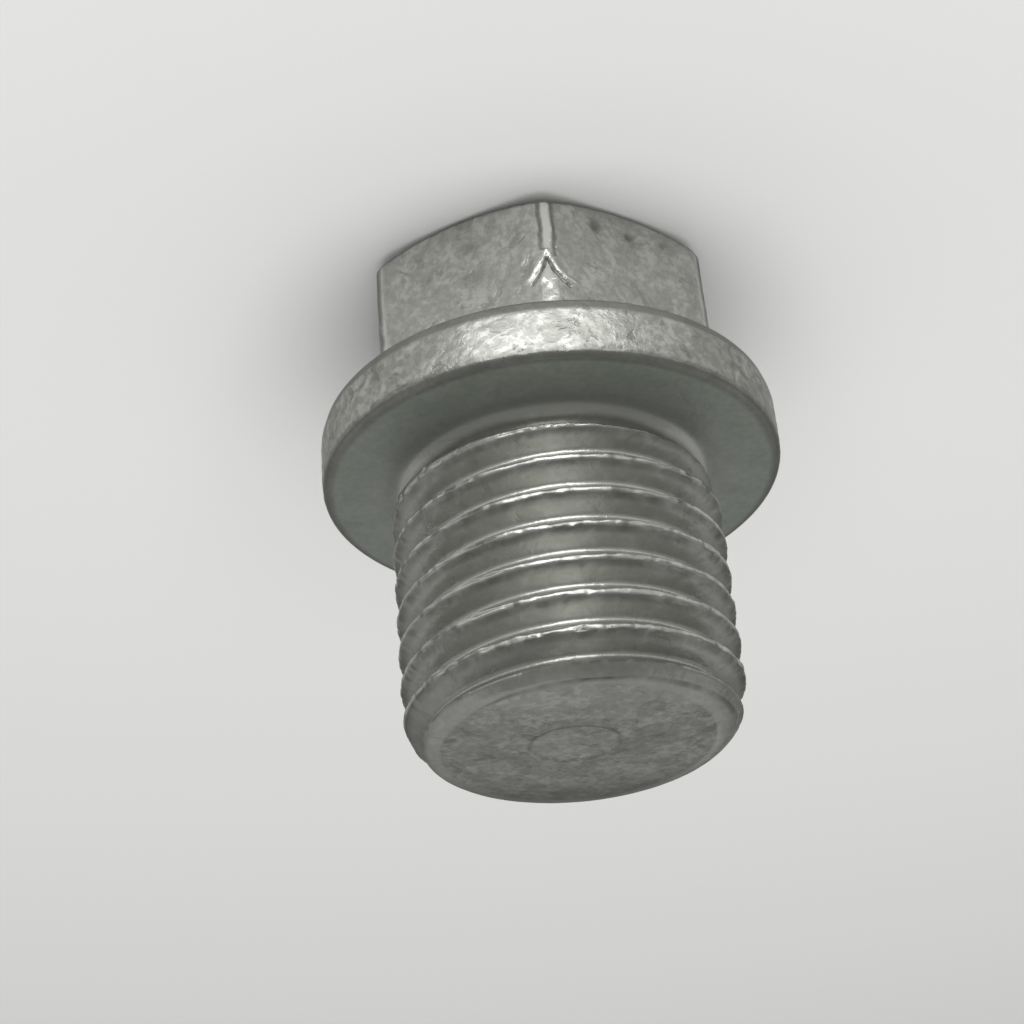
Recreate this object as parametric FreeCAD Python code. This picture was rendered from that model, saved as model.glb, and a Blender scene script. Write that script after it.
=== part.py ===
# Oil drain plug, M14 x 1.5, with a hexagon head and a collar: one cold-headed steel piece.
#
# It stands on its hexagon head with the thread up, which is also how it sits in a sump.
# Z runs from the middle of the head's face, along the axis, to the free end of the thread.

import FreeCAD, Part
import math
import os

Vector = FreeCAD.Vector

# Thread
thread_diameter = 13.85       # over the crests of a rolled M14 thread
thread_pitch = 1.5            # fine pitch, right-hand
flank_angle = 30.0            # between a flank and the plane across the axis, degrees
crest_flat = 1 / 8            # width of the crest's flat, in pitches
root_flat = 1 / 6             # width of the root's flat, in pitches
groove_turn = 342.0           # where the groove leaves the neck, degrees about Z
shank_length = 12.1           # from the sealing face to the free end

# Neck between the collar and the thread
neck_relief = 0.08            # how far the neck lies under the thread's root
seat_fillet_width = 1.05      # fillet at the foot of the neck, along the sealing face
seat_fillet_height = 0.7      # the same fillet, along the neck
runout_angle = 68.0           # slope by which the neck rises to the crests, degrees

# Free end
end_round = 2.1               # radius of the rounded lead-in
end_face_diameter = 11.1      # flat left at the end
centre_mark_diameter = 3.6    # shallow round mark left by the punch
centre_mark_depth = 0.08

# Collar
collar_diameter = 19.5
collar_thickness = 2.75       # from its back to the sealing face
collar_front_round = 0.45     # rounded edge on the sealing side
collar_back_bevel = 0.2       # width of the bevel on the hexagon's side
collar_bevel_height = 0.58

# Hexagon head
across_flats = 14.0
across_corners = 15.8         # the six corners are turned down to this
hexagon_height = 7.15         # from the head's face to the collar
head_face_diameter = 13.0     # flat left inside the chamfer of the head's face
head_chamfer_angle = 30.0     # between the chamfer and the head's face, degrees

# How the shapes are made
groove_clearance = 0.02       # left between the groove's start and the faces beside it
groove_overshoot = 0.04       # how far the groove's section stands outside the crests
round_bands = 2               # cone bands in a small round

# Worked out from the sizes above
thread_radius = thread_diameter / 2
thread_depth = (1 - crest_flat - root_flat) * thread_pitch / 2 / math.tan(math.radians(flank_angle))
root_radius = thread_radius - thread_depth
root_half_width = root_flat * thread_pitch / 2
neck_radius = root_radius - neck_relief
seat_z = hexagon_height + collar_thickness
end_z = seat_z + shank_length


def groove_half_width(radius):
    """Half of the V groove's width at a radius."""
    return root_half_width + (radius - root_radius) * math.tan(math.radians(flank_angle))


# The groove starts in the neck, where it meets neither the fillet nor the crests
groove_outer = thread_radius + groove_overshoot
groove_foot = max(seat_fillet_height + root_half_width, groove_half_width(groove_outer))
groove_start_z = seat_z + groove_foot + groove_clearance
runout_z = groove_start_z + root_half_width + groove_clearance


def point(radius, z):
    """A point of a turned profile."""
    return Vector(radius, 0, z)


def turned(edges):
    """The solid that a closed profile sweeps when it turns about the axis."""
    face = Part.Face(Part.Wire(edges))
    return face.revolve(Vector(0, 0, 0), Vector(0, 0, 1), 360)


def line(start, end):
    """A straight edge between two points."""
    return Part.LineSegment(start, end).toShape()


def on_arc(centre, radius, angle):
    """A point of an arc in the turned profile; the angle is counted from outwards towards +Z."""
    turn = math.radians(angle)
    return centre + Vector(math.cos(turn), 0, math.sin(turn)) * radius


def arc(centre, radius, from_angle, to_angle):
    """An arc of the turned profile."""
    angles = (from_angle, (from_angle + to_angle) / 2, to_angle)
    return Part.Arc(*[on_arc(centre, radius, angle) for angle in angles]).toShape()


def small_round(centre, width, height, from_angle, to_angle):
    """A small round of the profile as narrow cone bands, which keep its facets few."""
    corners = []
    for band in range(round_bands + 1):
        turn = math.radians(from_angle + (to_angle - from_angle) * band / round_bands)
        corners.append(centre + Vector(width * math.cos(turn), 0, height * math.sin(turn)))
    return [line(start, end) for start, end in zip(corners, corners[1:])]


def chain(edges):
    """Closes a run of profile edges with straight lines where they don't meet."""
    closed = []
    for edge, following in zip(edges, edges[1:] + edges[:1]):
        closed.append(edge)
        start = edge.valueAt(edge.LastParameter)
        end = following.valueAt(following.FirstParameter)
        if start.distanceToPoint(end) > 1e-6:
            closed.append(line(start, end))
    return closed


def collar_and_shank():
    """The turned body: collar, fillet, neck, run-out, shank and its rounded end."""
    rim = collar_diameter / 2
    back = hexagon_height
    round_centre = point(rim - collar_front_round, seat_z - collar_front_round)
    front_round = small_round(round_centre, collar_front_round, collar_front_round, 0, 90)
    fillet_centre = point(neck_radius + seat_fillet_width, seat_z + seat_fillet_height)
    fillet = small_round(fillet_centre, seat_fillet_width, seat_fillet_height, 270, 180)
    runout_height = (thread_radius - neck_radius) / math.tan(math.radians(runout_angle))
    lead_drop = thread_radius - end_face_diameter / 2
    lead_angle = math.degrees(math.acos((end_round - lead_drop) / end_round))
    lead_height = end_round * math.sin(math.radians(lead_angle))
    lead_in = arc(point(thread_radius - end_round, end_z - lead_height), end_round, 0, lead_angle)
    mark = centre_mark_diameter / 2
    edges = [
        line(point(0, back), point(rim - collar_back_bevel, back)),
        line(point(rim - collar_back_bevel, back), point(rim, back + collar_bevel_height)),
        *front_round,
        *fillet,
        line(point(neck_radius, runout_z), point(thread_radius, runout_z + runout_height)),
        lead_in,
        line(point(mark, end_z), point(mark, end_z - centre_mark_depth)),
        line(point(mark, end_z - centre_mark_depth), point(0, end_z - centre_mark_depth)),
    ]
    return turned(chain(edges))


def hexagon():
    """The hexagon, with its corners turned down and its free face chamfered."""
    corner = across_flats / math.sqrt(3)
    corners = []
    for step in range(7):
        turn = math.radians(90 + 60 * step)
        corners.append(Vector(corner * math.cos(turn), corner * math.sin(turn), 0))
    inside_collar = collar_thickness / 2
    height = hexagon_height + inside_collar
    prism = Part.Face(Part.makePolygon(corners)).extrude(Vector(0, 0, height))
    face_radius = head_face_diameter / 2
    outer = across_corners / 2
    chamfer_height = (outer - face_radius) * math.tan(math.radians(head_chamfer_angle))
    envelope = turned(chain([
        line(point(0, 0), point(face_radius, 0)),
        line(point(face_radius, 0), point(outer, chamfer_height)),
        line(point(outer, height), point(0, height)),
    ]))
    return prism.common(envelope)


def thread_groove():
    """The V groove with a flat root, carried along the helix from the neck to past the free end."""
    outer_half_width = groove_half_width(groove_outer)
    section = Part.makePolygon([
        point(root_radius, groove_start_z - root_half_width),
        point(groove_outer, groove_start_z - outer_half_width),
        point(groove_outer, groove_start_z + outer_half_width),
        point(root_radius, groove_start_z + root_half_width),
        point(root_radius, groove_start_z - root_half_width),
    ])
    length = end_z - groove_start_z + thread_pitch
    helix = Part.makeLongHelix(thread_pitch, length, root_radius, 0.0)
    helix.translate(Vector(0, 0, groove_start_z))
    groove = Part.Wire(helix).makePipeShell([Part.Wire(section)], True, True)
    groove.rotate(Vector(0, 0, 0), Vector(0, 0, 1), groove_turn)
    return groove


def drain_plug():
    """The whole plug: hexagon and turned body in one piece, with the thread in its shank."""
    blank = collar_and_shank().fuse(hexagon()).removeSplitter()
    return blank.cut(thread_groove()).Solids[0]


os.makedirs("parts", exist_ok=True)
plug = drain_plug()
plug.exportStep("parts/drain_plug.step")
print("drain_plug", plug.isValid(), "volume", round(plug.Volume, 2), "height", round(end_z, 3))
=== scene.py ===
# %% [markdown]
# # An oil drain plug
#
# The object is a screw plug of steel: a hexagon head, a collar that presses on a sealing washer,
# and a rolled M14 x 1.5 thread. It stands on its head. The head and the collar were forged cold in
# a die, and the thread was rolled, so nothing on the plug has a cutter's marks: its flats are
# mottled, its rim is hammered, the thread's crests are ragged where the metal didn't quite fill
# the rolls, and dull zinc plating covers everything.
#
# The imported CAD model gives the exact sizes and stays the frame. The steel skin is built again
# here at a finer scale, because ragged crests and forging marks are a tenth of a millimetre wide.

# %% Load the fixed frame
import math

import bpy
import numpy as np
from mathutils import Matrix, Vector


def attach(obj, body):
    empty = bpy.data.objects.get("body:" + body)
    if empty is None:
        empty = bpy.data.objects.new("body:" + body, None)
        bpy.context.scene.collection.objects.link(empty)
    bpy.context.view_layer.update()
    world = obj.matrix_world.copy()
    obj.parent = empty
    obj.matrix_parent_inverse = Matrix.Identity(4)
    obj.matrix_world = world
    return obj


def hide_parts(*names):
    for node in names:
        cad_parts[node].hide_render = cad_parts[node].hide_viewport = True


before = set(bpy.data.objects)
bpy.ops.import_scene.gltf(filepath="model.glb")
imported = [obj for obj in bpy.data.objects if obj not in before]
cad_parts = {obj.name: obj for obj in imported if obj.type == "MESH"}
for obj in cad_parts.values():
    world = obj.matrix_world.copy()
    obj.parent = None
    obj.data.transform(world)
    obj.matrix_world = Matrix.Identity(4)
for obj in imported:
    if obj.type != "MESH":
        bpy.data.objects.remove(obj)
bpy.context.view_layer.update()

MM = 0.001


# %% [markdown]
# ## Sizes
#
# Sizes are in millimetres. Z is the plug's axis: zero at the face of the head, rising to the free
# end of the thread. They are the CAD model's own sizes, apart from the start of the run-out. What
# departs from a plain form by up to a fifth of a millimetre, such as the dome of the free end, is
# defined where it is made.

# %% Sizes of the plug
thread_radius = 6.925
pitch = 1.5
flank_angle = math.radians(30.0)
root_radius = 6.005
groove_turn = math.radians(342.0)
groove_start = 10.745
neck_radius = 5.925
runout_start = 10.77  # 0.12 nearer to the collar than the CAD model's, which has no soft shoulder
runout_slope = math.tan(math.radians(68.0))
end_z = 22.0
end_round = 2.1
end_face_radius = 5.55
mark_radius = 1.8
mark_depth = 0.08
seat_z = 9.9
fillet_width, fillet_height = 1.05, 0.7
neck_z = seat_z + fillet_height
rim_radius = 9.75
rim_back_z, rim_front_z = 7.73, 9.45
collar_back_z, collar_back_radius = 7.15, 9.55
flat_distance = 7.0
corner_radius = 7.9
head_face_radius = 6.5
chamfer_slope = math.tan(math.radians(30.0))
print("shank", round(end_z - seat_z, 2), "mm long, collar", round(seat_z - collar_back_z, 2), "mm thick")

# %% [markdown]
# ## Marks that no two plugs share
#
# Forged and rolled steel is covered with small bumps. A Displace modifier could add them, but the
# same bumps also have to wander along crests and break up edges, so they are worked out here. They
# come from value noise: each point of a lattice gets a fixed random number, and the numbers of a
# cell's eight corners are blended with the smooth weight f * f * (3 - 2 * f). The lattice lives in
# space, so the bumps run across seams without a break, and a seed makes them the same every time.

# %% Value noise in space
axis_primes = (73856093, 19349663, 83492791)
seed_prime, seed_start = 7919, 17
stir_factors = (0x85EBCA6B, 0xC2B2AE35)
cell_corners = [(i, j, k) for k in (0, 1) for j in (0, 1) for i in (0, 1)]


def lattice_number(cell, seed):
    """A fixed random number from -1 to 1 for each lattice point: its three whole-number
    coordinates, times a prime each, are mixed by exclusive or, then stirred by shifts and
    products."""
    mixed = np.full(cell.shape[:-1], seed * seed_prime + seed_start, dtype=np.uint32)
    for axis, prime in enumerate(axis_primes):
        mixed ^= cell[..., axis].astype(np.uint32) * np.uint32(prime)
    for factor in stir_factors:
        mixed ^= mixed >> np.uint32(15)
        mixed *= np.uint32(factor)
    mixed ^= mixed >> np.uint32(16)
    return mixed / 2.0**31 - 1.0


def noise(points, size, seed):
    """Smooth bumps from -1 to 1 about `size` mm apart: the eight lattice numbers round each point,
    blended along each axis by f * f * (3 - 2 * f)."""
    scaled = points / size
    cell = np.floor(scaled).astype(np.int64)
    part = scaled - cell
    weight = part * part * (3 - 2 * part)
    total = np.zeros(points.shape[:-1])
    for corner in cell_corners:
        share = np.where(corner, weight, 1 - weight).prod(axis=-1)
        total += share * lattice_number(cell + corner, seed)
    return total


line_of_points = np.linspace([0, 0, 0], [9, 9, 9], 1000)
sample = noise(line_of_points, 1.0, 1)
print("noise runs from", round(float(sample.min()), 2), "to", round(float(sample.max()), 2))

# %% [markdown]
# A few short functions turn noise and distances into shapes. A ramp and a fade are smooth steps, a
# bell is a soft line, spots are islands of noise, bumps are layers of noise of several sizes, and
# a soft minimum joins two surfaces with a rounded edge. The last one turns radius, angle and
# height into points.

# %% Steps, lines, spots and bumps
def ramp(value, low, high):
    """Rises smoothly from 0 at low to 1 at high: f * f * (3 - 2 * f)."""
    part = np.clip((value - low) / (high - low), 0, 1)
    return part * part * (3 - 2 * part)


def fade(value, low, high):
    """Falls smoothly from 1 at low to 0 at high."""
    return 1 - ramp(value, low, high)


def bell(distance, width):
    """1 at distance 0, falling off on both sides as exp(-(distance / width)^2)."""
    return np.exp(-((distance / width) ** 2))


def spots(points, size, seed, low, high):
    """Spots about `size` mm wide: 0 where the noise is under low, 1 where it is over high."""
    return ramp(noise(points, size, seed), low, high)


def bumps(points, *layers):
    """Layers of noise added up. Each layer is its height in mm, its size in mm and its seed."""
    return sum(rise * noise(points, size, seed) for rise, size, seed in layers)


def soft_min(a, b, blend):
    """The smaller of two surfaces, its edge rounded: (a + b - sqrt((a - b)^2 + blend^2)) / 2."""
    return (a + b - np.sqrt((a - b) ** 2 + blend**2)) / 2


def polar(radius, angle, z):
    """Points from radius, angle about Z and height."""
    return np.stack([radius * np.cos(angle), radius * np.sin(angle), z], axis=-1)


# %% [markdown]
# ## From a grid of points to a closed skin
#
# Both pieces are grids: one row of points after another along the profile, each row once round the
# axis. A thread needs rows that climb with the helix, or its sharp crests would come out as steps.
# There the last column joins the first one a whole turn of rows further up, and rows that would
# leave the piece lie on its end rings. Points that coincide are made one, which closes the poles
# and the ends, and the flat triangles that this leaves are dropped.

# %% Triangles of a grid
merge_digits = 5  # points that agree to this many decimals of a millimetre are one


def grid_triangles(rows, columns, seam_rows):
    """Two triangles for each cell. The last column of row i is joined to the first column of row
    seam_rows[i]."""
    index = np.arange(rows * columns).reshape(rows, columns)
    index = np.concatenate([index, index[seam_rows, :1]], axis=1)
    low_left, low_right = index[:-1, :-1], index[:-1, 1:]
    high_left, high_right = index[1:, :-1], index[1:, 1:]
    return np.concatenate([
        np.stack([low_left, low_right, high_right], axis=-1).reshape(-1, 3),
        np.stack([low_left, high_right, high_left], axis=-1).reshape(-1, 3),
    ])


def merged(points, triangles):
    """Makes coinciding points one. It gives the points that are left, where each one was first,
    and the triangles that aren't flat."""
    rounded_points = np.round(points.reshape(-1, 3), merge_digits)
    _, first, same = np.unique(rounded_points, axis=0, return_index=True, return_inverse=True)
    triangles = same.reshape(-1)[triangles]
    a, b, c = triangles.T
    return rounded_points[first], first, triangles[(a != b) & (b != c) & (c != a)]


# %% A piece from its grid
sharp_angle = math.radians(70)


def steel_skin(name, points, finishes, seam_rows):
    """A closed mesh from points[row, column] in mm. Each finish is a number at every point, which
    the material reads by its name."""
    rows, columns, _ = points.shape
    corners, first, triangles = merged(points, grid_triangles(rows, columns, seam_rows))
    mesh = bpy.data.meshes.new(name)
    mesh.from_pydata(corners * MM, [], triangles.tolist())
    mesh.shade_smooth()
    mesh.set_sharp_from_angle(angle=sharp_angle)
    for finish, amount in finishes.items():
        attribute = mesh.attributes.new(finish, "FLOAT", "POINT")
        attribute.data.foreach_set("value", amount.reshape(-1)[first].astype(np.float32))
    piece = bpy.data.objects.new(name, mesh)
    bpy.context.scene.collection.objects.link(piece)
    print(name, "has", len(corners), "points and", len(triangles), "triangles")
    return piece


# %% [markdown]
# ## The threaded shank
#
# Rolling presses a V groove along a helix into the blank, and the metal flows outwards into the
# crests. The Screw modifier could carry one tooth along the helix, but the run-out, the rounded
# lead-in and the ragged crests would then have to be cut from it. Here the radius at any angle and
# height is the smaller of two surfaces:
#
# - the blank: the neck, a run-out of 68 degrees, the crests' cylinder and the rounded lead-in
# - the groove: a V of 60 degrees with a round root, at the height's distance from the nearest turn
#
# The first ridge starts a little higher than the others and leans back by 8 degrees.

# %% Profile of the blank
lead_start = end_z - math.sqrt(end_round**2 - (end_round - thread_radius + end_face_radius) ** 2)
shoulder_rise, shoulder_lean = 0.04, 0.14
shoulder_start, shoulder_width = 0.4, 0.3
runout_blend = 0.05


def blank_radius(z):
    """Neck, then a steep cone to the crests' cylinder with the first ridge's shoulder on it, then
    the lead-in as an arc of a circle."""
    above = z - runout_start
    cone = neck_radius + np.maximum(above, 0) * runout_slope
    lean = shoulder_lean * np.clip(above - shoulder_start, 0, shoulder_width)
    crests = thread_radius + shoulder_rise - lean
    arc_height = np.clip(z - lead_start, 0, end_round)
    arc = thread_radius - end_round + np.sqrt(end_round**2 - arc_height**2)
    return np.minimum(soft_min(cone, crests, runout_blend), arc)


print("the lead-in starts at", round(lead_start, 2))

# %% Profile of the groove
root_round = 0.2166
flank_rise = 1 / math.tan(flank_angle)
v_bottom = root_radius - root_round  # where the two flanks would meet


def groove_radius(distance):
    """The V groove at a distance from its middle: straight flanks, and a circle in the root that
    touches both of them."""
    tangent = root_round * math.cos(flank_angle)
    circle = np.sqrt(np.maximum(root_round**2 - distance**2, 0))
    flank = v_bottom + distance * flank_rise
    return np.where(distance < tangent, root_radius + root_round - circle, flank)


print("the groove reaches the crests' radius", round((thread_radius - v_bottom) / flank_rise, 3),
      "mm from its middle")

# %% [markdown]
# The rows lie at fixed places between one turn of the groove and the next, counted in pitches,
# close together in the root and on the crest, where the profile bends. Each row climbs one pitch
# in a turn, so that an edge of a crest runs along a row.

# %% Grid of the shank
shank_columns = 480
row_places = np.array([
    -0.125, -0.083, -0.042, 0.0, 0.042, 0.083, 0.125, 0.2, 0.28, 0.35, 0.405,
    0.4375, 0.46, 0.48, 0.5, 0.52, 0.54, 0.5625, 0.595, 0.65, 0.72, 0.8,
])
rows_per_turn = len(row_places)
turns_below, turns_above = 2, 4  # enough for the rows to cover both ends at every angle
turns = np.arange(-turns_below, int((end_z - neck_z) / pitch) + turns_above)
rounding = 1e-6

shank_angle = np.linspace(0, 2 * math.pi, shank_columns, endpoint=False)[None, :]
place = (turns[:, None] + row_places[None, :]).reshape(-1, 1)
climb = (shank_angle - groove_turn) / (2 * math.pi)
height = np.clip(groove_start + pitch * (place + climb), neck_z, end_z)
turn_number = np.round((height - groove_start) / pitch - climb)
groove_z = groove_start + pitch * (turn_number + climb)
in_thread = groove_z >= groove_start - rounding
from_groove = height - groove_z
distance = np.abs(from_groove)
print("the shank's grid has", height.shape[0], "rows and", height.shape[1], "columns")

# %% [markdown]
# The metal that the rolls push up from both flanks meets in the middle of a crest. So the crest's
# two edges wander by a few hundredths of a millimetre, the seam between them opens here and there,
# and a few places near the free end are torn. Sculpting would do for one crest, but noise does it
# for every turn. It is read on a cylinder and stretched four times in height, so that it changes
# along a crest more than across it.

# %% Ragged crests
on_cylinder = polar(np.full_like(height, thread_radius), shank_angle, height)
along_crest = on_cylinder * [1, 1, 0.25]
upper_side = np.where(from_groove > 0, 1.0, -1.0)[..., None]
wide_shift, fine_shift = 40, 70  # the two edges of a crest read the noise this far apart
wander = bumps(along_crest + upper_side * wide_shift, (0.04, 0.8, 3))
wander += bumps(along_crest + upper_side * fine_shift, (0.045, 0.28, 4))
wander *= ramp(distance, 0.42, 0.6)

torn = spots(on_cylinder, 1.3, 8, 0.35, 0.6) * ramp(height, end_z - 2.5, end_z - 1.0)
crest_drop = 0.03 * spots(along_crest, 0.7, 5, 0.0, 0.8) + 0.12 * torn
crest_drop += 0.05 * spots(along_crest, 0.28, 7, 0.25, 0.8)
seam = bell(pitch / 2 - distance, 0.035) * spots(along_crest, 1.1, 6, -0.1, 0.5)
print("crests fall by up to", round(float(crest_drop.max()), 3), "mm")

# %% Side of the shank
no_groove = 99.0
crest_blend, first_crest_blend = 0.07, 0.06
seam_depth = 0.05

groove = np.where(in_thread, groove_radius(distance + wander), no_groove)
blank = blank_radius(height) - crest_drop * ramp(distance, 0.56, 0.66)
first_crest = fade(height, runout_start + 0.45, runout_start + 0.7)
side_radius = soft_min(blank, groove, crest_blend + first_crest_blend * first_crest)
side_radius -= seam_depth * seam * in_thread
side_radius = np.where(height <= neck_z, neck_radius, side_radius)
side_radius = np.where(height >= end_z, end_face_radius, side_radius)
print("the side's radius runs from", round(float(side_radius.min()), 3),
      "to", round(float(side_radius.max()), 3))

# %% [markdown]
# The free end is slightly domed, and a punch has left a shallow round mark in it, a little off the
# middle, with a faint lip. A cylinder taken away by a Boolean would leave a hard edge and long thin
# faces. As a height over the end, the mark keeps a soft and wavering edge.

# %% Shape of the free end
end_gap = 0.01  # keeps the end inside the CAD model's height
dome_fall, dome_radius = 0.17, 5.6
mark_x, mark_y = 0.14, -0.46
mark_flattening = 1.08
mark_slope, mark_foot = 0.12, 0.04  # inside and outside the mark's radius
lip_height, lip_width = 0.015, 0.12


def from_mark_middle(radius, angle):
    """Distance from the middle of the round mark, whose edge wanders a little."""
    x, y = radius * np.cos(angle), radius * np.sin(angle)
    away = np.hypot(x - mark_x, (y - mark_y) * mark_flattening)
    return away + bumps(polar(radius, angle, 0 * x), (0.08, 0.6, 15))


def end_height(radius, angle):
    """The domed end: it falls with the fourth power of the radius, less the mark, plus its lip."""
    from_mark = from_mark_middle(radius, angle)
    dome = dome_fall * (radius / dome_radius) ** 4
    mark = mark_depth * fade(from_mark, mark_radius - mark_slope, mark_radius + mark_foot)
    lip = lip_height * bell(from_mark - mark_radius - lip_width, lip_width)
    return end_z - end_gap - dome - mark + lip


# %% Points of the side and the end
end_edge_blend = 0.05
end_radii = np.concatenate([
    np.linspace(end_face_radius - 0.13, 2.5, 16),
    np.linspace(2.4, 1.1, 15),
    [0.8, 0.4, 0.0],
])
end_radius = np.broadcast_to(end_radii[:, None], (len(end_radii), shank_columns))
end_points = polar(end_radius, shank_angle, end_height(end_radius, shank_angle))
rounded_height = soft_min(height, end_height(side_radius, shank_angle), end_edge_blend)
side_height = np.where(height > lead_start + 0.5, rounded_height, height)
side_points = polar(side_radius, shank_angle, side_height)
foot = np.zeros((1, shank_columns))
foot_points = polar(foot, shank_angle, foot + neck_z)
print("heights on the end differ by up to", round(float(np.ptp(end_points[..., 2])), 3), "mm")

# %% [markdown]
# Rolling and plating leave the flanks a few thousandths of a millimetre uneven, and the end a few
# hundredths, which breaks their reflections. A bump map would do that too, but ripples in the mesh
# are still there when it is exported.

# %% Ripples on the side and the end
side_outward = polar(np.ones_like(height), shank_angle, 0 * height)
side_ripple = bumps(side_points, (0.005, 0.4, 11), (0.005, 1.4, 12))
side_ripple *= (height > neck_z) & (height < end_z)
side_points += side_outward * side_ripple[..., None]
end_ripple = bumps(end_points, (0.008, 0.4, 13), (0.024, 1.4, 14))
end_ripple *= ramp(end_radius, 0.0, 0.5)
end_ripple *= fade(end_radius, end_face_radius - 0.25, end_face_radius - 0.05)
end_points[..., 2] = np.minimum(end_points[..., 2] + end_ripple, end_z)
shank_points = np.concatenate([foot_points, side_points, end_points])
print("ripples of up to", round(float(np.abs(end_ripple).max()), 3), "mm on the end")

# %% [markdown]
# ## What the plating has to know
#
# Light wear, dirt and painted light and shade follow the form: crests are rubbed bright, the roots get a
# painted highlight, and the gap of the neck is painted dark as shade.
# Masks painted by hand could say so, but the script already knows where each point lies. So every
# point carries four numbers from 0 to 1, as attributes of the mesh that the material reads:
#
# - wear: how far the plating is burnished, and how much highlight is painted on it
# - grain: how strong its blotches and grains are
# - crease: how much dirt and painted shade darken it
# - bloom: how much of the matte greenish bloom of untouched zinc it has

# %% Bright places of the shank
on_crest = ramp(distance, 0.6, 0.68) * ramp(side_radius, thread_radius - 0.325, thread_radius - 0.125)
broken = 0.25 + 0.75 * spots(along_crest, 0.45, 61, -0.35, 0.25)
crest_wear = 0.6 * broken * on_crest
# light wear over the whole side, and a painted highlight along each root
wear_and_root_highlight = 0.24 + 0.35 * fade(distance, 0.06, 0.16) * in_thread
from_mark = from_mark_middle(end_radius, shank_angle)
end_wear_and_light = 0.05 + 0.12 * fade(from_mark, mark_radius - 0.3, mark_radius)
# painted light: the end's near side is lighter
end_wear_and_light += 0.14 * ramp(-end_points[..., 1], 2.0, 4.5)
shank_wear_and_highlight = np.concatenate([foot, np.maximum(crest_wear, wear_and_root_highlight), end_wear_and_light])
print("mean wear of the shank", round(float(shank_wear_and_highlight.mean()), 2))

# %% [markdown]
# Dark places are painted shade in a line along each crest, on the side of the free end, and in the
# neck, and specks on the crests. The lead-in has a ragged band of painted shade, dark bits along
# the last edge and painted shade on its far side, and the end has painted shade on its far side
# and round the round mark's edge. Where two of them meet, the darker one counts, so they are
# joined by their maximum.

# %% Dark places of the shank
band_ring_radius = 6.0  # the edge of the lead-in's band follows the noise along a ring

# painted shade in a line along each crest, on the side of the free end
shade_under_crest = ramp(-from_groove, 0.42, 0.56) * fade(-from_groove, 0.62, 0.67)
shade_under_crest *= 0.6 + bumps(along_crest, (0.4, 0.5, 9))
shade_under_crest = np.clip(shade_under_crest, 0, 1) * (height > runout_start)
# painted shade in the neck's gap below the first ridge
neck_shade = 0.8 * fade(height, runout_start, runout_start + 0.25)
specks = 0.8 * spots(along_crest, 0.3, 62, 0.2, 0.55) * on_crest * (height > runout_start + 0.63)
# a ragged band of painted shade on the lead-in
on_ring = polar(0 * height + band_ring_radius, shank_angle, 0 * height)
band_edge = height + bumps(on_ring, (0.07, 0.7, 63))
lead_in_shade = 0.3 * ramp(height, end_z - 1.7, end_z - 1.1) * fade(band_edge, end_z - 0.5, end_z - 0.2)
last_edge = bell(blank - groove, 0.16) * ramp(height, end_z - 2.1, end_z - 1.7)
edge_bits = 0.9 * last_edge * spots(along_crest, 0.35, 66, -0.2, 0.1)
# painted shade on the far side of the lead-in
far_side_shade = 0.5 * ramp(height, end_z - 0.8, end_z - 0.4) * ramp(np.sin(shank_angle), 0.3, 0.9)
side_dirt_and_shade = np.maximum.reduce([shade_under_crest, neck_shade, specks, lead_in_shade, edge_bits, far_side_shade])

# painted shade round the round mark's edge, stronger in patches
ring_shade = 0.1 + 0.35 * spots(end_points, 1.2, 64, -0.2, 0.5)
mark_ring_shade = ring_shade * bell(from_mark - mark_radius + 0.05, 0.09)
# painted shade on the far side of the end, its edge wavering
far_end_shade = 0.6 * ramp(end_points[..., 1] + bumps(end_points, (0.5, 1.5, 65)), 2.8, 4.8)
end_shade = np.maximum(mark_ring_shade, far_end_shade)
shank_dirt_and_shade = np.concatenate([foot, side_dirt_and_shade, end_shade])
print("mean crease of the shank", round(float(shank_dirt_and_shade.mean()), 2))

# %% Skin of the shank
side_grain, end_grain = 0.3, 0.7
shank_finish = {
    "wear_and_highlight": shank_wear_and_highlight,
    "grain": np.concatenate([foot + side_grain, 0 * height + side_grain, 0 * end_radius + end_grain]),
    "dirt_and_shade": shank_dirt_and_shade,
    "bloom": 0 * shank_wear_and_highlight,
}
last_side_row = len(side_points)
climbing = slice(1, last_side_row + 1)
seam_rows = np.arange(len(shank_points))
seam_rows[climbing] = np.minimum(seam_rows[climbing] + rows_per_turn, last_side_row)
shank = steel_skin("threaded_shank", shank_points, shank_finish, seam_rows)

# %% [markdown]
# ## The head and the collar
#
# The head is a hexagon whose corners are turned down, with a chamfer round its face. A six-sided
# cylinder with a Bevel would be quick, but a flat needs points of its own for dents and forging
# marks. At each angle the radius is the smallest of three surfaces: the flat, which is its distance
# divided by the cosine of the angle from its middle, the turned corner, and the chamfer's cone.
# The columns are closer together round the corner that faces the viewer, and the rows at half
# height, for its forging lap.

# %% Columns and profile of the hexagon
head_angle = np.radians(np.concatenate([
    np.linspace(-80, 260, 460, endpoint=False),
    np.linspace(260, 280, 140, endpoint=False),
]))[None, :]
head_columns = head_angle.size
from_flat = (head_angle + math.pi / 6) % (math.pi / 3) - math.pi / 6
flat_radius = flat_distance / np.cos(from_flat)
corner_blend, chamfer_blend = 0.015, 0.09
flare = 0.3


def hexagon_rows(z):
    """Radius of the hexagon at each height: the smallest of flat, corner and chamfer with soft
    edges, and a quarter circle that flares into the collar."""
    turned = soft_min(flat_radius, np.full_like(flat_radius, corner_radius), corner_blend)
    chamfer = np.broadcast_to(head_face_radius + z / chamfer_slope, (len(z), head_columns))
    into_flare = np.clip(z - (collar_back_z - flare), 0, flare)
    return soft_min(turned, chamfer, chamfer_blend) + flare - np.sqrt(flare**2 - into_flare**2)


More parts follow.
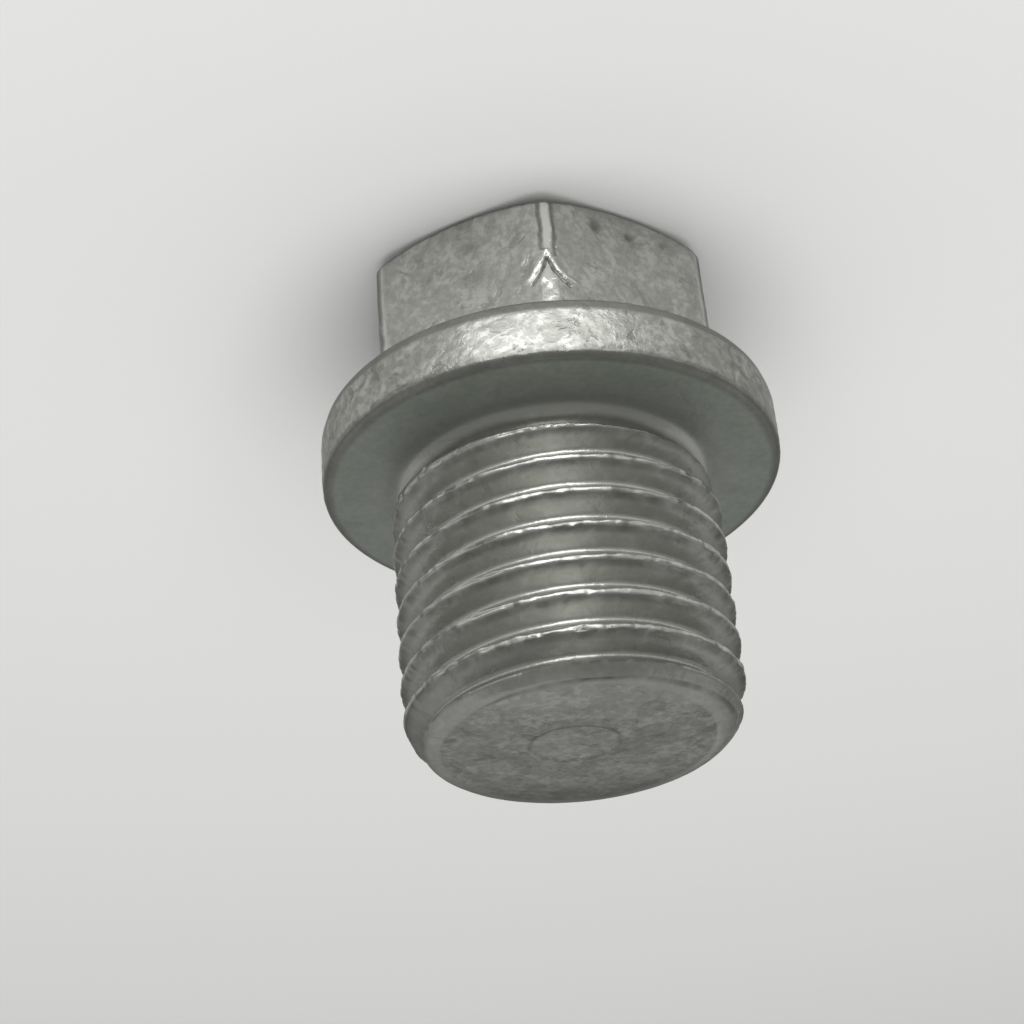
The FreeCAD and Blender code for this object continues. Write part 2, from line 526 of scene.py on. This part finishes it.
hexagon_z = np.concatenate([
    np.linspace(0.03, 0.85, 11),
    np.linspace(0.93, 3.2, 18, endpoint=False),
    np.linspace(3.2, 5.3, 40, endpoint=False),
    np.linspace(5.3, collar_back_z - flare, 15),
    collar_back_z - flare * np.cos(np.linspace(0.2, math.pi / 2, 7)),
])[:, None]
hexagon_radius = hexagon_rows(hexagon_z)
half_way = hexagon_radius[len(hexagon_z) // 2]
print("hexagon", round(2 * float(half_way.min()), 2), "mm across flats and",
      round(2 * float(half_way.max()), 2), "mm across corners")

# %% [markdown]
# The collar and the fillet are plain turned forms. The Spin tool could turn their profile, but as
# rows of the same grid they join the hexagon with no seam. From the head's face to the neck, the
# sections are: face, hexagon, back of the collar, its bevel, rim, front round, sealing face, fillet.
# The bevel's rows stop a little short of its ends, which leaves its edges soft.

# %% Rows of the whole head
front_round = 0.4
quarter = np.linspace(0, math.pi / 2, 9)[1:]
fillet_turn = np.linspace(0, math.pi / 2, 14)
back_share = np.array([0.3, 0.6, 0.85, 1.0])[:, None]
back_radius = hexagon_radius[-1:] + (collar_back_radius - hexagon_radius[-1:]) * back_share
seat_radii = [9.2, 9.0, 8.8, 8.5, 8.2, 7.9, 7.6, 7.3, 7.1]
seat_fall = np.array([0.03, 0.015, 0.005, 0.0, 0.0, 0.0, 0.0, 0.0, 0.0])


def turned_rows(radii, heights):
    """Rows of a plain turned profile: the same radius and height all the way round."""
    radii, heights = np.broadcast_arrays(np.atleast_1d(radii), heights)
    shape = (len(radii), head_columns)
    return np.broadcast_to(radii[:, None], shape), np.broadcast_to(heights[:, None], shape)


sections = [
    turned_rows([0.0, 2.0, 4.0, 5.5, 6.2, head_face_radius - 0.02], 0.0),
    (hexagon_radius, np.broadcast_to(hexagon_z, hexagon_radius.shape)),
    (back_radius, np.full_like(back_radius, collar_back_z)),
    turned_rows(
        np.linspace(collar_back_radius + 0.05, rim_radius - 0.02, 6),
        np.linspace(collar_back_z + 0.07, rim_back_z - 0.07, 6),
    ),
    turned_rows(rim_radius, np.linspace(rim_back_z, rim_front_z, 23)),
    turned_rows(
        rim_radius - front_round * (1 - np.cos(quarter)),
        rim_front_z + front_round * np.sin(quarter),
    ),
    turned_rows(seat_radii, seat_z - seat_fall),
    turned_rows(
        neck_radius + fillet_width * (1 - np.sin(fillet_turn)),
        seat_z + fillet_height * (1 - np.cos(fillet_turn)),
    ),
    turned_rows(0.0, neck_z),
]
head_radius = np.concatenate([radius for radius, _ in sections])
head_z = np.concatenate([z for _, z in sections])
smooth_points = polar(head_radius, head_angle, head_z)
print("the head's grid has", head_z.shape[0], "rows and", head_z.shape[1], "columns")

# %% [markdown]
# Where the die closed, the metal folded over itself on one corner of the hexagon: a forging lap.
# It reads as a bright strip up the corner between two dark lines, then a ridge that forks into two
# legs, each with a dark crease beside it, then a rough patch. The strip, the legs and the patch
# are raised and carry a painted highlight, and the dark lines and creases are sunk and carry painted
# shade. A sculpt would do it by eye. Here each mark is a stroke: a path of straight runs on the
# corner, seen from in front, which fades with the distance to it as a bell.

# %% Strokes of the forging lap
far_away = 99.0
across = -smooth_points[..., 0]
ragged = bumps(smooth_points, (0.05, 0.25, 21))
right_leg = [(0.02, 3.42), (0.12, 3.7), (0.42, 4.3), (0.75, 4.6), (1.08, 4.76)]
left_leg = [(-0.06, 3.42), (-0.28, 3.85), (-0.6, 4.3), (-0.88, 4.62)]
between_legs = [(-0.07, 3.82), (-0.05, 3.9)]
right_crease = [(0.0, 3.78), (0.22, 4.34), (0.54, 4.76), (0.86, 5.0)]
left_crease = [(-0.06, 3.78), (-0.16, 4.14), (-0.44, 4.62), (-0.68, 4.9)]
bright_strip = [(0.05, 0.9), (0.12, 2.2), (0.02, 3.4)]
beside_strip = [[(-0.20, 0.9), (-0.16, 2.2), (-0.22, 3.2)], [(0.36, 0.9), (0.42, 2.2), (0.34, 3.5)]]
rough_stem = [(0.02, 4.1), (-0.04, 4.8), (0.0, 5.6)]


def stroke(across, along, path, width, strength):
    """A soft line along a path of (across, along) points: strength times the bell of the distance
    to the nearest run, which is the distance to the point at the clipped share of the run."""
    nearest = np.full(across.shape, far_away)
    for (x0, y0), (x1, y1) in zip(path, path[1:]):
        run_x, run_y = x1 - x0, y1 - y0
        share = ((across - x0) * run_x + (along - y0) * run_y) / (run_x**2 + run_y**2)
        share = np.clip(share, 0, 1)
        away = np.hypot(across - x0 - share * run_x, along - y0 - share * run_y)
        nearest = np.minimum(nearest, away)
    return strength * bell(nearest, width)


# %% Height of the forging lap
legs = stroke(across, head_z, right_leg, 0.115, 1.0)
legs += stroke(across + ragged, head_z + ragged, left_leg, 0.14, 0.9)
legs += stroke(across, head_z, between_legs, 0.08, 0.6)
creases = stroke(across, head_z, right_crease, 0.055, 0.9)
creases += stroke(across, head_z, left_crease, 0.055, 0.9)
for path in beside_strip:
    creases += stroke(across + ragged, head_z, path, 0.10, 0.85)
strip = stroke(across + ragged, head_z, bright_strip, 0.20, 1.0)
patch = stroke(across + 2.5 * ragged, head_z, rough_stem, 0.19, 1.2)
patch *= 0.25 + 0.75 * spots(smooth_points, 0.3, 23, -0.4, 0.1)

leg_height, crease_depth, strip_height = 0.075, 0.09, 0.02
lap = leg_height * legs - crease_depth * creases + strip_height * strip
lap += patch * (0.02 + bumps(smooth_points, (0.02, 0.2, 22)))
front_corner = (smooth_points[..., 1] < -6.0) & (head_z < collar_back_z - flare)
print("the lap runs from", round(float((front_corner * lap).min()), 3), "to",
      round(float((front_corner * lap).max()), 3), "mm")

# %% [markdown]
# Dents come from handling, when loose plugs knock against each other. Each one is a round hollow at
# an azimuth and a height, with the distance measured over the surface, so it stays round where a
# flat turns away. Cutting them with spheres would leave sharp rims.

# %% Dents
dent_places = [  # azimuth in degrees, height, width, depth
    (-108.8, 1.24, 0.30, 0.12), (-122.7, 1.28, 0.22, 0.12), (-136.7, 1.20, 0.20, 0.08),
    (-64.0, 1.7, 0.35, 0.05), (-48.0, 2.6, 0.3, 0.04),
    (35.0, 3.0, 0.3, 0.08), (102.0, 4.4, 0.25, 0.1), (171.0, 2.0, 0.35, 0.07),
    (-79.3, 9.26, 0.10, 0.07), (-121.0, 8.9, 0.14, 0.06),
    (60.0, 8.5, 0.2, 0.08), (148.0, 9.1, 0.2, 0.1),
]


def dents(places, azimuth, z, radius):
    """Round hollows added up: minus depth times the bell of the distance over the surface."""
    total = np.zeros(np.broadcast_shapes(azimuth.shape, z.shape))
    for dent_azimuth, dent_z, width, depth in places:
        turned = (azimuth - math.radians(dent_azimuth) + math.pi) % (2 * math.pi) - math.pi
        total -= depth * bell(np.hypot(turned * radius, z - dent_z), width)
    return total


head_dents = dents(dent_places, head_angle, head_z, head_radius)
print(len(dent_places), "dents, down to", round(float(head_dents.min()), 3), "mm")

# %% [markdown]
# The rim is hammered all over with fine marks and nicked along its front edge, the hexagon has
# wider and softer ones, and the sealing face only ripples. The skin lies 0.03 mm inside the CAD
# model's, about the height of the marks, so that the collar doesn't outgrow it.

# %% Marks of the forged surfaces
skin_depth = 0.03
rim_zone = ramp(head_radius, rim_radius - 0.05, rim_radius - 0.01)
rim_zone *= ramp(head_z, rim_back_z - 0.23, rim_back_z + 0.07)
hexagon_zone = fade(head_radius, corner_radius + 0.3, corner_radius + 0.7)
seat_zone = ramp(head_z, seat_z - 0.2, seat_z - 0.02)

hammered = bumps(smooth_points, (0.008, 0.6, 31), (0.011, 0.25, 32))
hammered -= 0.03 * spots(smooth_points, 0.7, 33, 0.5, 0.8)
forged = bumps(smooth_points, (0.014, 0.6, 34), (0.006, 0.25, 38), (0.02, 2.2, 35))
forged -= 0.025 * spots(smooth_points, 0.75, 36, 0.45, 0.8)
front_edge = bell(head_z - rim_front_z - 0.05, 0.12)
front_edge *= ramp(head_radius, rim_radius - 0.35, rim_radius - 0.05)
nicks = -0.02 * spots(smooth_points, 0.45, 37, 0.3, 0.8) * front_edge
nicks -= 0.025 * spots(smooth_points, 0.2, 39, 0.1, 0.7) * front_edge
print("the rim is nicked by up to", round(-float(nicks.min()), 3), "mm")

# %% Points of the head
relief = rim_zone * (hammered - skin_depth) * (1 - 0.7 * seat_zone) + nicks
relief += hexagon_zone * (forged + front_corner * lap - skin_depth) * (head_z > 0.02)
relief = (relief + head_dents) * (head_radius > head_face_radius)
head_outward = polar(np.ones_like(head_radius), head_angle, 0 * head_z)
head_points = smooth_points + head_outward * relief[..., None]
on_seat = (head_z > seat_z - 0.2) & (head_radius > neck_radius + 0.975)
ripple_height = 0.004
head_points[..., 2] += (bumps(head_points, (ripple_height, 1.1, 41)) - ripple_height) * on_seat
print("relief of the head from", round(float(relief.min()), 3),
      "to", round(float(relief.max()), 3), "mm")

# %% [markdown]
# The head carries the same four numbers. Its bright places are light wear on the rim and the
# hexagon, painted light on the sealing face and the fillet that grows towards the neck, and painted
# highlights on the lap, round the fillet and on a strip just before each of the two corners beside
# the front one. The distance past those corners is the angle from the front corner, less 60
# degrees, times the corner's radius.

# %% Bright places of the head
below_collar = head_z < collar_back_z
on_rim = rim_zone * (1 - seat_zone)
on_hexagon = hexagon_zone * below_collar
seat_bloom = ramp(head_z, seat_z - 0.1, seat_z - 0.02) * fade(head_z, seat_z + 0.2, seat_z + 0.35)
# painted light on the sealing face and the fillet, stronger towards the neck
seat_light_inward = fade(head_radius, 7.2, 9.2) * (head_z >= seat_z - 0.01)

front_azimuth = math.radians(270)
from_front = np.arccos(np.clip(np.cos(head_angle - front_azimuth), -1, 1))
past_corner = (from_front - math.pi / 3) * corner_radius
# painted highlight on a strip just before each of the two corners beside the front one
corner_highlight = bell(past_corner + 0.14, 0.13) * ramp(head_z, 0.7, 1.0)
corner_highlight = corner_highlight * below_collar * (1 - front_corner)
# painted highlight on the lap's strip, legs and patch, less where its creases are painted dark
lap_highlight = np.maximum.reduce([0.7 * legs, 1.3 * strip, 0.75 * patch])
lap_highlight *= 1 - 0.8 * np.clip(creases, 0, 1)
lap_highlight = front_corner * np.clip(0.9 * lap_highlight, 0, 1)
# painted highlight in a band round the fillet
fillet_highlight = bell(head_radius - neck_radius - 0.455, 0.2) * (head_z > seat_z)

head_wear_and_highlight = 0.06 * on_rim + 0.25 * on_hexagon + 0.12 * seat_light_inward
head_wear_and_highlight = np.clip(head_wear_and_highlight + 0.75 * corner_highlight + lap_highlight + fillet_highlight, 0, 1)
print("mean wear of the head", round(float(head_wear_and_highlight.mean()), 2))

# %% [markdown]
# Its dark places are the dents, and painted shade in the lap's creases, on the collar's bevel, in a
# ragged line round the front of the rim, along the edge of the head's chamfer, on the flats just
# past the two corners, and at the top of the fillet.

# %% Dark places of the head
# painted shade on the collar's bevel
bevel_shade = ramp(head_radius, 8.4, 9.0) * fade(head_z, rim_back_z - 0.18, rim_back_z - 0.03)
# painted shade on the front round of the rim, below a ragged edge
ragged_edge = rim_front_z - 0.02 + bumps(head_points, (0.10, 0.4, 51), (0.06, 0.2, 52))
round_shade = ramp(head_z - ragged_edge, 0.0, 0.05)
round_shade *= ramp(head_radius, rim_radius - 0.5, rim_radius - 0.35)
chamfer_top = (np.minimum(flat_radius, corner_radius) - head_face_radius) * chamfer_slope
# painted shade along the edge of the head's chamfer
top_edge_shade = fade(head_z - chamfer_top, 0.02, 0.16)
# painted shade on the flats just past the two corners
corner_shade = ramp(past_corner, 0.0, 0.1) * fade(past_corner, 0.8, 1.3) * below_collar

# painted shade in the lap's creases, and darker dents
head_dirt_and_shade = front_corner * np.clip(creases, 0, 1) + np.clip(-9 * head_dents, 0, 0.8)
head_dirt_and_shade += 0.65 * bevel_shade + 0.6 * round_shade
head_dirt_and_shade += hexagon_zone * (0.8 * top_edge_shade * (head_z > 0.02) + 0.55 * corner_shade * (1 - top_edge_shade))
# painted shade at the top of the fillet, where it meets the neck
head_dirt_and_shade += 0.8 * ramp(head_z, seat_z + 0.22, seat_z + 0.4)
head_dirt_and_shade = np.clip(head_dirt_and_shade, 0, 1)
print("mean crease of the head", round(float(head_dirt_and_shade.mean()), 2))

# %% Skin of the head
head_finish = {
    "wear_and_highlight": head_wear_and_highlight,
    "grain": 0.3 + 0.55 * on_rim + 0.6 * on_hexagon - 0.12 * seat_bloom,
    "dirt_and_shade": head_dirt_and_shade,
    "bloom": seat_bloom,
}
head = steel_skin("head_and_collar", head_points, head_finish, np.arange(len(head_points)))

# %% [markdown]
# ## Dull zinc plating
#
# The plating is a metal with a matte bloom on it. A photograph of zinc could be wrapped round the
# plug, but it would stretch and show its seams. Clouds of noise on Object coordinates go through
# the solid and need no unwrapping.
#
# Shader maths soon becomes a web of nodes. The small class below wraps a socket, so that +, - and *
# on it add Math nodes, and a formula stays one line. Any other node comes from one function.

# %% A socket that does sums
class Socket:
    """A shader value that can be added, subtracted and multiplied in an expression."""

    def __init__(self, tree, link):
        self.tree = tree
        self.link = link

    def math(self, operation, left, right):
        """A Math node that does the operation on two numbers or sockets."""
        found = node(self.tree, "ShaderNodeMath", {"operation": operation}, {0: left, 1: right})
        return Socket(self.tree, found.outputs[0])

    def __add__(self, other):
        return self.math("ADD", self, other)

    def __sub__(self, other):
        return self.math("SUBTRACT", self, other)

    def __rsub__(self, other):
        return self.math("SUBTRACT", other, self)

    def __mul__(self, other):
        return self.math("MULTIPLY", self, other)

    __radd__ = __add__
    __rmul__ = __mul__


def node(tree, kind, settings, values):
    """Any node: its type, its settings, then the values or links of its sockets."""
    made = tree.nodes.new(kind)
    for name, value in settings.items():
        setattr(made, name, value)
    for name, value in values.items():
        if isinstance(value, Socket):
            tree.links.new(value.link, made.inputs[name])
        else:
            made.inputs[name].default_value = value
    return made


# %% Clouds, steps, mixes and finishes
cloud_roughness = 0.6


def cloud(place, size, detail, distortion=0.0):
    """Noise in space, whose largest bumps are about `size` mm apart."""
    values = {
        "Vector": place, "Scale": 1 / (size * MM), "Detail": detail,
        "Roughness": cloud_roughness, "Distortion": distortion,
    }
    found = node(place.tree, "ShaderNodeTexNoise", {"noise_dimensions": "3D"}, values)
    return Socket(place.tree, found.outputs["Factor" if "Factor" in found.outputs else "Fac"])


def stepped(value, low, high):
    """A smooth step from 0 at low to 1 at high."""
    values = {"Value": value, "From Min": low, "From Max": high}
    found = node(value.tree, "ShaderNodeMapRange", {"interpolation_type": "SMOOTHSTEP"}, values)
    return Socket(value.tree, found.outputs["Result"])


def mixed(share, low, high):
    """The colour low where the share is 0 and high where it is 1; a Mix node's sockets 0, 6 and 7
    are its factor and its two colours."""
    found = node(share.tree, "ShaderNodeMix", {"data_type": "RGBA"}, {0: share, 6: low, 7: high})
    return Socket(share.tree, found.outputs[2])


def finish(tree, name):
    """One of the four numbers that the points carry."""
    found = node(tree, "ShaderNodeAttribute", {"attribute_name": name}, {})
    return Socket(tree, found.outputs["Fac"])


# %% [markdown]
# The colour is built up as the surface is: two greys of zinc in wide patches, the greenish bloom,
# paler blotches, darker grains, pits, then burnished metal over the wear and the painted highlights,
# and the dirt colour over the dirt and the painted shade. Burnished and highlighted places are also
# smoother, and the bloom is the least metallic.

# %% The plating's material
patch_greys = ((0.275, 0.284, 0.256, 1), (0.325, 0.33, 0.305, 1))
bloom_colour = (0.31, 0.341, 0.298, 1)
blotch_colour = (0.44, 0.445, 0.42, 1)
grain_colour = (0.17, 0.175, 0.155, 1)
pit_colour = (0.12, 0.12, 0.105, 1)
# burnished metal, which is also the colour of the painted highlights
burnished_and_highlight_colour = (0.6, 0.6, 0.57, 1)
# dark colour of dirt, which is also the colour of the painted shade
dirt_and_shade_colour = (0.09, 0.09, 0.08, 1)
reflection_tint = (0.5, 0.5, 0.48, 1)
bump_strength, bump_height = 0.6, 0.03


def zinc_plating():
    """The material of the whole plug, from clouds on Object coordinates and the four finishes."""
    material = bpy.data.materials.new("zinc_plated_steel")
    material.use_nodes = True
    tree = material.node_tree
    tree.nodes.clear()
    place = Socket(tree, node(tree, "ShaderNodeTexCoord", {}, {}).outputs["Object"])
    wear_and_highlight, grain, dirt_and_shade, bloom = (finish(tree, name) for name in ("wear_and_highlight", "grain", "dirt_and_shade", "bloom"))
    patches = stepped(cloud(place, 1.6, 3.0), 0.35, 0.68)
    blotches = stepped(cloud(place, 1.3, 4.0, 0.5), 0.44, 0.58)
    grains = stepped(cloud(place, 0.33, 3.0, 0.2), 0.4, 0.6)
    pits = stepped(cloud(place, 1.0, 4.0, 0.5), 0.57, 0.65)

    colour = mixed(patches, *patch_greys)
    colour = mixed(bloom, colour, bloom_colour)
    colour = mixed(blotches * grain * 0.9, colour, blotch_colour)
    colour = mixed((1 - grains) * (grain * 0.6 + 0.05), colour, grain_colour)
    colour = mixed(pits * grain * 0.6, colour, pit_colour)
    # burnished metal over real wear and over painted highlights
    colour = mixed(wear_and_highlight, colour, burnished_and_highlight_colour)
    # dirt colour over real dirt and over painted shade
    colour = mixed(dirt_and_shade * 0.75, colour, dirt_and_shade_colour)

    roughness = 0.35 - wear_and_highlight * 0.16 + patches * 0.05 - blotches * grain * 0.02 + bloom * 0.1
    relief = grains * 0.35 + blotches * 0.65 - pits * 0.8
    bump = node(tree, "ShaderNodeBump", {}, {
        "Strength": bump_strength, "Distance": bump_height * MM,
        "Height": relief * (grain * 0.8 + 0.2),
    })
    surface = node(tree, "ShaderNodeBsdfPrincipled", {}, {
        "Base Color": colour, "Metallic": 0.7 - bloom * 0.35, "Roughness": roughness,
        "Specular Tint": reflection_tint, "Normal": Socket(tree, bump.outputs[0]),
    })
    node(tree, "ShaderNodeOutputMaterial", {}, {"Surface": Socket(tree, surface.outputs[0])})
    print(material.name, "has", len(tree.nodes), "nodes")
    return material


# %% Both pieces get the plating and take the CAD model's place
plating = zinc_plating()
for piece in (shank, head):
    piece.data.materials.append(plating)
    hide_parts("drain_plug")
    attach(piece, "root")

# %% [markdown]
# ## Floor
#
# The plug stands on a sheet of plain pale paper. A curved backdrop would hide the horizon, but the
# camera looks down on the paper and doesn't see its edge, so one large square is enough.

# %% Pale floor
floor_half_side = 0.6
paper_colour = (0.82, 0.82, 0.81, 1)
paper_roughness = 0.9


def pale_floor():
    """A square of matte paper at the height of the head's face."""
    side = floor_half_side
    mesh = bpy.data.meshes.new("floor")
    corners = [(-side, -side, 0), (side, -side, 0), (side, side, 0), (-side, side, 0)]
    mesh.from_pydata(corners, [], [(0, 1, 2, 3)])
    floor = bpy.data.objects.new("floor", mesh)
    bpy.context.scene.collection.objects.link(floor)
    material = bpy.data.materials.new("floor_paper")
    material.use_nodes = True
    paper = material.node_tree.nodes["Principled BSDF"]
    paper.inputs["Base Color"].default_value = paper_colour
    paper.inputs["Roughness"].default_value = paper_roughness
    mesh.materials.append(material)
    return floor


floor = pale_floor()
print("the floor is", 2 * floor_half_side, "m wide")

# %% [markdown]
# ## Light
#
# Metal shows what it mirrors. A low card in front of the plug, leaning back, gives the rim and the
# crests their bright line; it lights the plug alone, or its edge would be drawn on the floor. Three
# dim soft boxes behind outline the sides, a large lamp from above lights the floor alone, and the
# world is an even grey. A single sun would be simpler, but would leave most of the metal black.

# %% Lamps
def soft_lamp(name, place_mm, aim_mm, width_mm, height_mm, radiance, receivers=()):
    """A rectangular lamp whose face has the given radiance, turned towards a point. Its power is
    radiance times pi times its area. It lights its receivers only, or everything if none is named."""
    data = bpy.data.lights.new(name, "AREA")
    data.shape = "RECTANGLE"
    data.size, data.size_y = width_mm * MM, height_mm * MM
    data.energy = radiance * math.pi * data.size * data.size_y
    lamp = bpy.data.objects.new(name, data)
    bpy.context.scene.collection.objects.link(lamp)
    away = Vector(place_mm) - Vector(aim_mm)
    turn = away.to_track_quat("Z", "Y").to_matrix().to_4x4()
    lamp.matrix_world = Matrix.Translation(Vector(place_mm) * MM) @ turn
    lamp.visible_camera = False
    if receivers:
        lit = bpy.data.collections.new("lit_by_" + name)
        for receiver in receivers:
            lit.objects.link(receiver)
        lamp.light_linking.receiver_collection = lit
    print(name, "shines with", round(data.energy, 4), "W")


soft_lamp("front_card", (3, -49, 10.3), (3, -37, 48.4), 25, 65, 3.1, [head, shank])

# %% Soft boxes behind, light for the floor, and the world
box_azimuths = (25, 90, 155)
box_distance, box_height = 185, 165
box_aim = (0, 0, 12)
world_grey = 0.36

for index, degrees in enumerate(box_azimuths):
    azimuth = math.radians(degrees)
    box_place = (box_distance * math.cos(azimuth), box_distance * math.sin(azimuth), box_height)
    soft_lamp(f"back_box_{index}", box_place, box_aim, 210, 150, 0.32)
soft_lamp("floor_light", (0, -120, 230), (0, -30, 0), 240, 240, 2.5, [floor])

world = bpy.data.worlds.new("studio")
bpy.context.scene.world = world
world.use_nodes = True
background = world.node_tree.nodes["Background"]
background.inputs["Color"].default_value = (world_grey, world_grey, world_grey, 1)
background.inputs["Strength"].default_value = 1.0

# %% [markdown]
# ## Camera
#
# The plug is seen from the thread's side, a little from above the collar, with its head at the top
# of the picture. So the camera looks down by 31 degrees and is rolled almost upside down. It turns
# about a point on the axis, and a shift to its own left and down puts the plug where it belongs.

# %% Camera
camera_azimuth, camera_elevation, camera_roll = 3.8, 30.646, 174.937
camera_aim = (0, 0, 10.39)
camera_shift = (-1.771, -0.602, 86.35)  # to its right, up and back from the aim

camera_data = bpy.data.cameras.new("camera")
camera_data.lens = 71.8
camera_data.sensor_width = 36.0
camera_data.clip_start = 0.005
camera = bpy.data.objects.new("camera", camera_data)
bpy.context.scene.collection.objects.link(camera)
look = Matrix.Rotation(math.radians(camera_azimuth), 4, "Z")
look = look @ Matrix.Rotation(math.pi / 2 - math.radians(camera_elevation), 4, "X")
look = look @ Matrix.Rotation(math.radians(camera_roll), 4, "Z")
aim = Matrix.Translation(Vector(camera_aim) * MM)
camera.matrix_world = aim @ look @ Matrix.Translation(Vector(camera_shift) * MM)
bpy.context.scene.camera = camera
bpy.context.scene.view_settings.view_transform = "Standard"
print("camera at", [round(value / MM, 2) for value in camera.matrix_world.translation], "mm")
